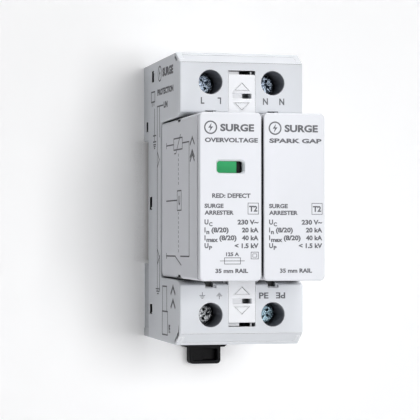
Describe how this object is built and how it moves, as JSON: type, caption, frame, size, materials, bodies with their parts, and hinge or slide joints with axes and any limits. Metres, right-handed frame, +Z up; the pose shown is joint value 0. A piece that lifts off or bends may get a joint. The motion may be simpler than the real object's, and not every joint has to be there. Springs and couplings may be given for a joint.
{
  "type": "whole house surge protector",
  "caption": "DIN-rail surge arrester: grey base with screw terminals, plug-in varistor and spark-gap modules, status window, retention clips and a pull-down rail clip.",
  "frame": {"origin": "centre of the rail seat: middle of the width, on the plane where the rail's front bears, at the rail's centre line", "axes": "X across the width (right is positive seen from the front), -Y towards the front, +Z up"},
  "size_m": [0.0354, 0.0659, 0.0888],
  "materials": {
    "housing": "satin moulded polyamide",
    "module_plastic": "satin moulded polyamide",
    "white_clip": "satin",
    "carrier": "matt",
    "black_plastic": "satin",
    "red_plastic": "satin",
    "green_flag": "satin",
    "wire_insulation": "satin",
    "zinc": "bright zinc plating",
    "spring_steel": "drawn wire",
    "solder": "dull tin",
    "copper": "rolled copper",
    "brass": "rolled brass",
    "varistor_epoxy": "powder epoxy",
    "ceramic": "fired alumina"
  },
  "bodies": {
    "base": {"base_frame": "housing", "left_side_cover": "housing", "right_side_cover": "housing", "carrier_line": "carrier", "carrier_neutral": "carrier", "carrier_earth_left": "carrier", "carrier_earth_right": "carrier", "busbar_line": "copper", "busbar_neutral": "copper", "busbar_earth": "copper", "jaw_line": "brass", "jaw_neutral_left": "brass", "jaw_neutral_right": "brass", "jaw_earth": "brass", "rail_clip_spring": "spring_steel", "signal_switch": "black_plastic", "signal_wires": "wire_insulation", "signal_socket": "black_plastic", "signal_pins": "brass"},
    "upper_clip": {"upper_retention_clip": "white_clip"},
    "lower_clip": {"lower_retention_clip": "white_clip"},
    "rail_clip": {"rail_clip": "black_plastic"},
    "plunger": {"switch_plunger": "red_plastic"},
    "line_module": {"line_module_shell": "module_plastic", "line_module_front": "module_plastic", "varistor_block": "varistor_epoxy", "electrode_line": "copper", "electrode_neutral": "copper", "solder_joint": "solder", "arm_rivet": "brass", "arm_spring": "spring_steel", "blade_line": "brass", "blade_neutral": "brass"},
    "arm": {"disconnect_arm": "copper"},
    "flag": {"flag_carrier": "black_plastic", "flag_green": "green_flag", "flag_red": "red_plastic"},
    "neutral_module": {"neutral_module_shell": "module_plastic", "neutral_module_front": "module_plastic", "gas_tube_ceramic": "ceramic", "gas_tube_caps": "zinc", "blade_gap_neutral": "brass", "blade_gap_earth": "brass"},
    "screw_line": {"screw_line": "zinc"},
    "cage_line": {"cage_line": "zinc"},
    "screw_neutral": {"screw_neutral": "zinc"},
    "cage_neutral": {"cage_neutral": "zinc"},
    "screw_earth_left": {"screw_earth_left": "zinc"},
    "cage_earth_left": {"cage_earth_left": "zinc"},
    "screw_earth_right": {"screw_earth_right": "zinc"},
    "cage_earth_right": {"cage_earth_right": "zinc"}
  },
  "joints": [
    {"name": "upper_clip_slide", "type": "slide", "parent": "base", "child": "upper_clip", "axis": [0, 0, 1], "range_m": [0, 0.0011]},
    {"name": "lower_clip_slide", "type": "slide", "parent": "base", "child": "lower_clip", "axis": [0, 0, -1], "range_m": [0, 0.0011]},
    {"name": "rail_clip_slide", "type": "slide", "parent": "base", "child": "rail_clip", "axis": [0, 0, -1], "range_m": [0, 0.003], "stiffness_N_per_m": 2000, "springref_m": -0.002, "deforming": ["rail_clip_spring"]},
    {"name": "line_module_pull", "type": "slide", "parent": "base", "child": "line_module", "axis": [0, -1, 0], "range_m": [0, 0.045]},
    {"name": "neutral_module_pull", "type": "slide", "parent": "base", "child": "neutral_module", "axis": [0, -1, 0], "range_m": [0, 0.045]},
    {"name": "plunger_slide", "type": "slide", "parent": "base", "child": "plunger", "axis": [0, -1, 0], "range_m": [0, 0.0015]},
    {"name": "disconnect_arm_hinge", "type": "hinge", "parent": "line_module", "child": "arm", "pos_m": [-0.0044, -0.0216, 0.014], "axis": [-1, 0, 0], "range_deg": [0, 7], "deforming": ["arm_spring"]},
    {"name": "flag_slide", "type": "slide", "parent": "line_module", "child": "flag", "axis": [0, 0, 1], "range_m": [0, 0.0042]},
    {"name": "screw_turn_line", "type": "hinge", "parent": "base", "child": "screw_line", "pos_m": [-0.00895, -0.03, 0.0322], "axis": [0, 1, 0], "range_deg": [0, 2341]},
    {"name": "cage_slide_line", "type": "slide", "parent": "base", "child": "cage_line", "axis": [0, -1, 0], "range_m": [0, 0.0052]},
    {"name": "screw_turn_neutral", "type": "hinge", "parent": "base", "child": "screw_neutral", "pos_m": [0.00895, -0.03, 0.0322], "axis": [0, 1, 0], "range_deg": [0, 2341]},
    {"name": "cage_slide_neutral", "type": "slide", "parent": "base", "child": "cage_neutral", "axis": [0, -1, 0], "range_m": [0, 0.0052]},
    {"name": "screw_turn_earth_left", "type": "hinge", "parent": "base", "child": "screw_earth_left", "pos_m": [-0.00895, -0.03, -0.0322], "axis": [0, 1, 0], "range_deg": [0, 2341]},
    {"name": "cage_slide_earth_left", "type": "slide", "parent": "base", "child": "cage_earth_left", "axis": [0, -1, 0], "range_m": [0, 0.0052]},
    {"name": "screw_turn_earth_right", "type": "hinge", "parent": "base", "child": "screw_earth_right", "pos_m": [0.00895, -0.03, -0.0322], "axis": [0, 1, 0], "range_deg": [0, 2341]},
    {"name": "cage_slide_earth_right", "type": "slide", "parent": "base", "child": "cage_earth_right", "axis": [0, -1, 0], "range_m": [0, 0.0052]}
  ],
  "couplings": [
    {"joint": "plunger_slide", "follows": "line_module_pull", "ratio": 0.0333},
    {"joint": "flag_slide", "follows": "disconnect_arm_hinge", "m_per_rad": 0.03437},
    {"joint": "screw_turn_line", "follows": "cage_slide_line", "rad_per_m": 7854},
    {"joint": "screw_turn_neutral", "follows": "cage_slide_neutral", "rad_per_m": 7854},
    {"joint": "screw_turn_earth_left", "follows": "cage_slide_earth_left", "rad_per_m": 7854},
    {"joint": "screw_turn_earth_right", "follows": "cage_slide_earth_right", "rad_per_m": 7854}
  ]
}
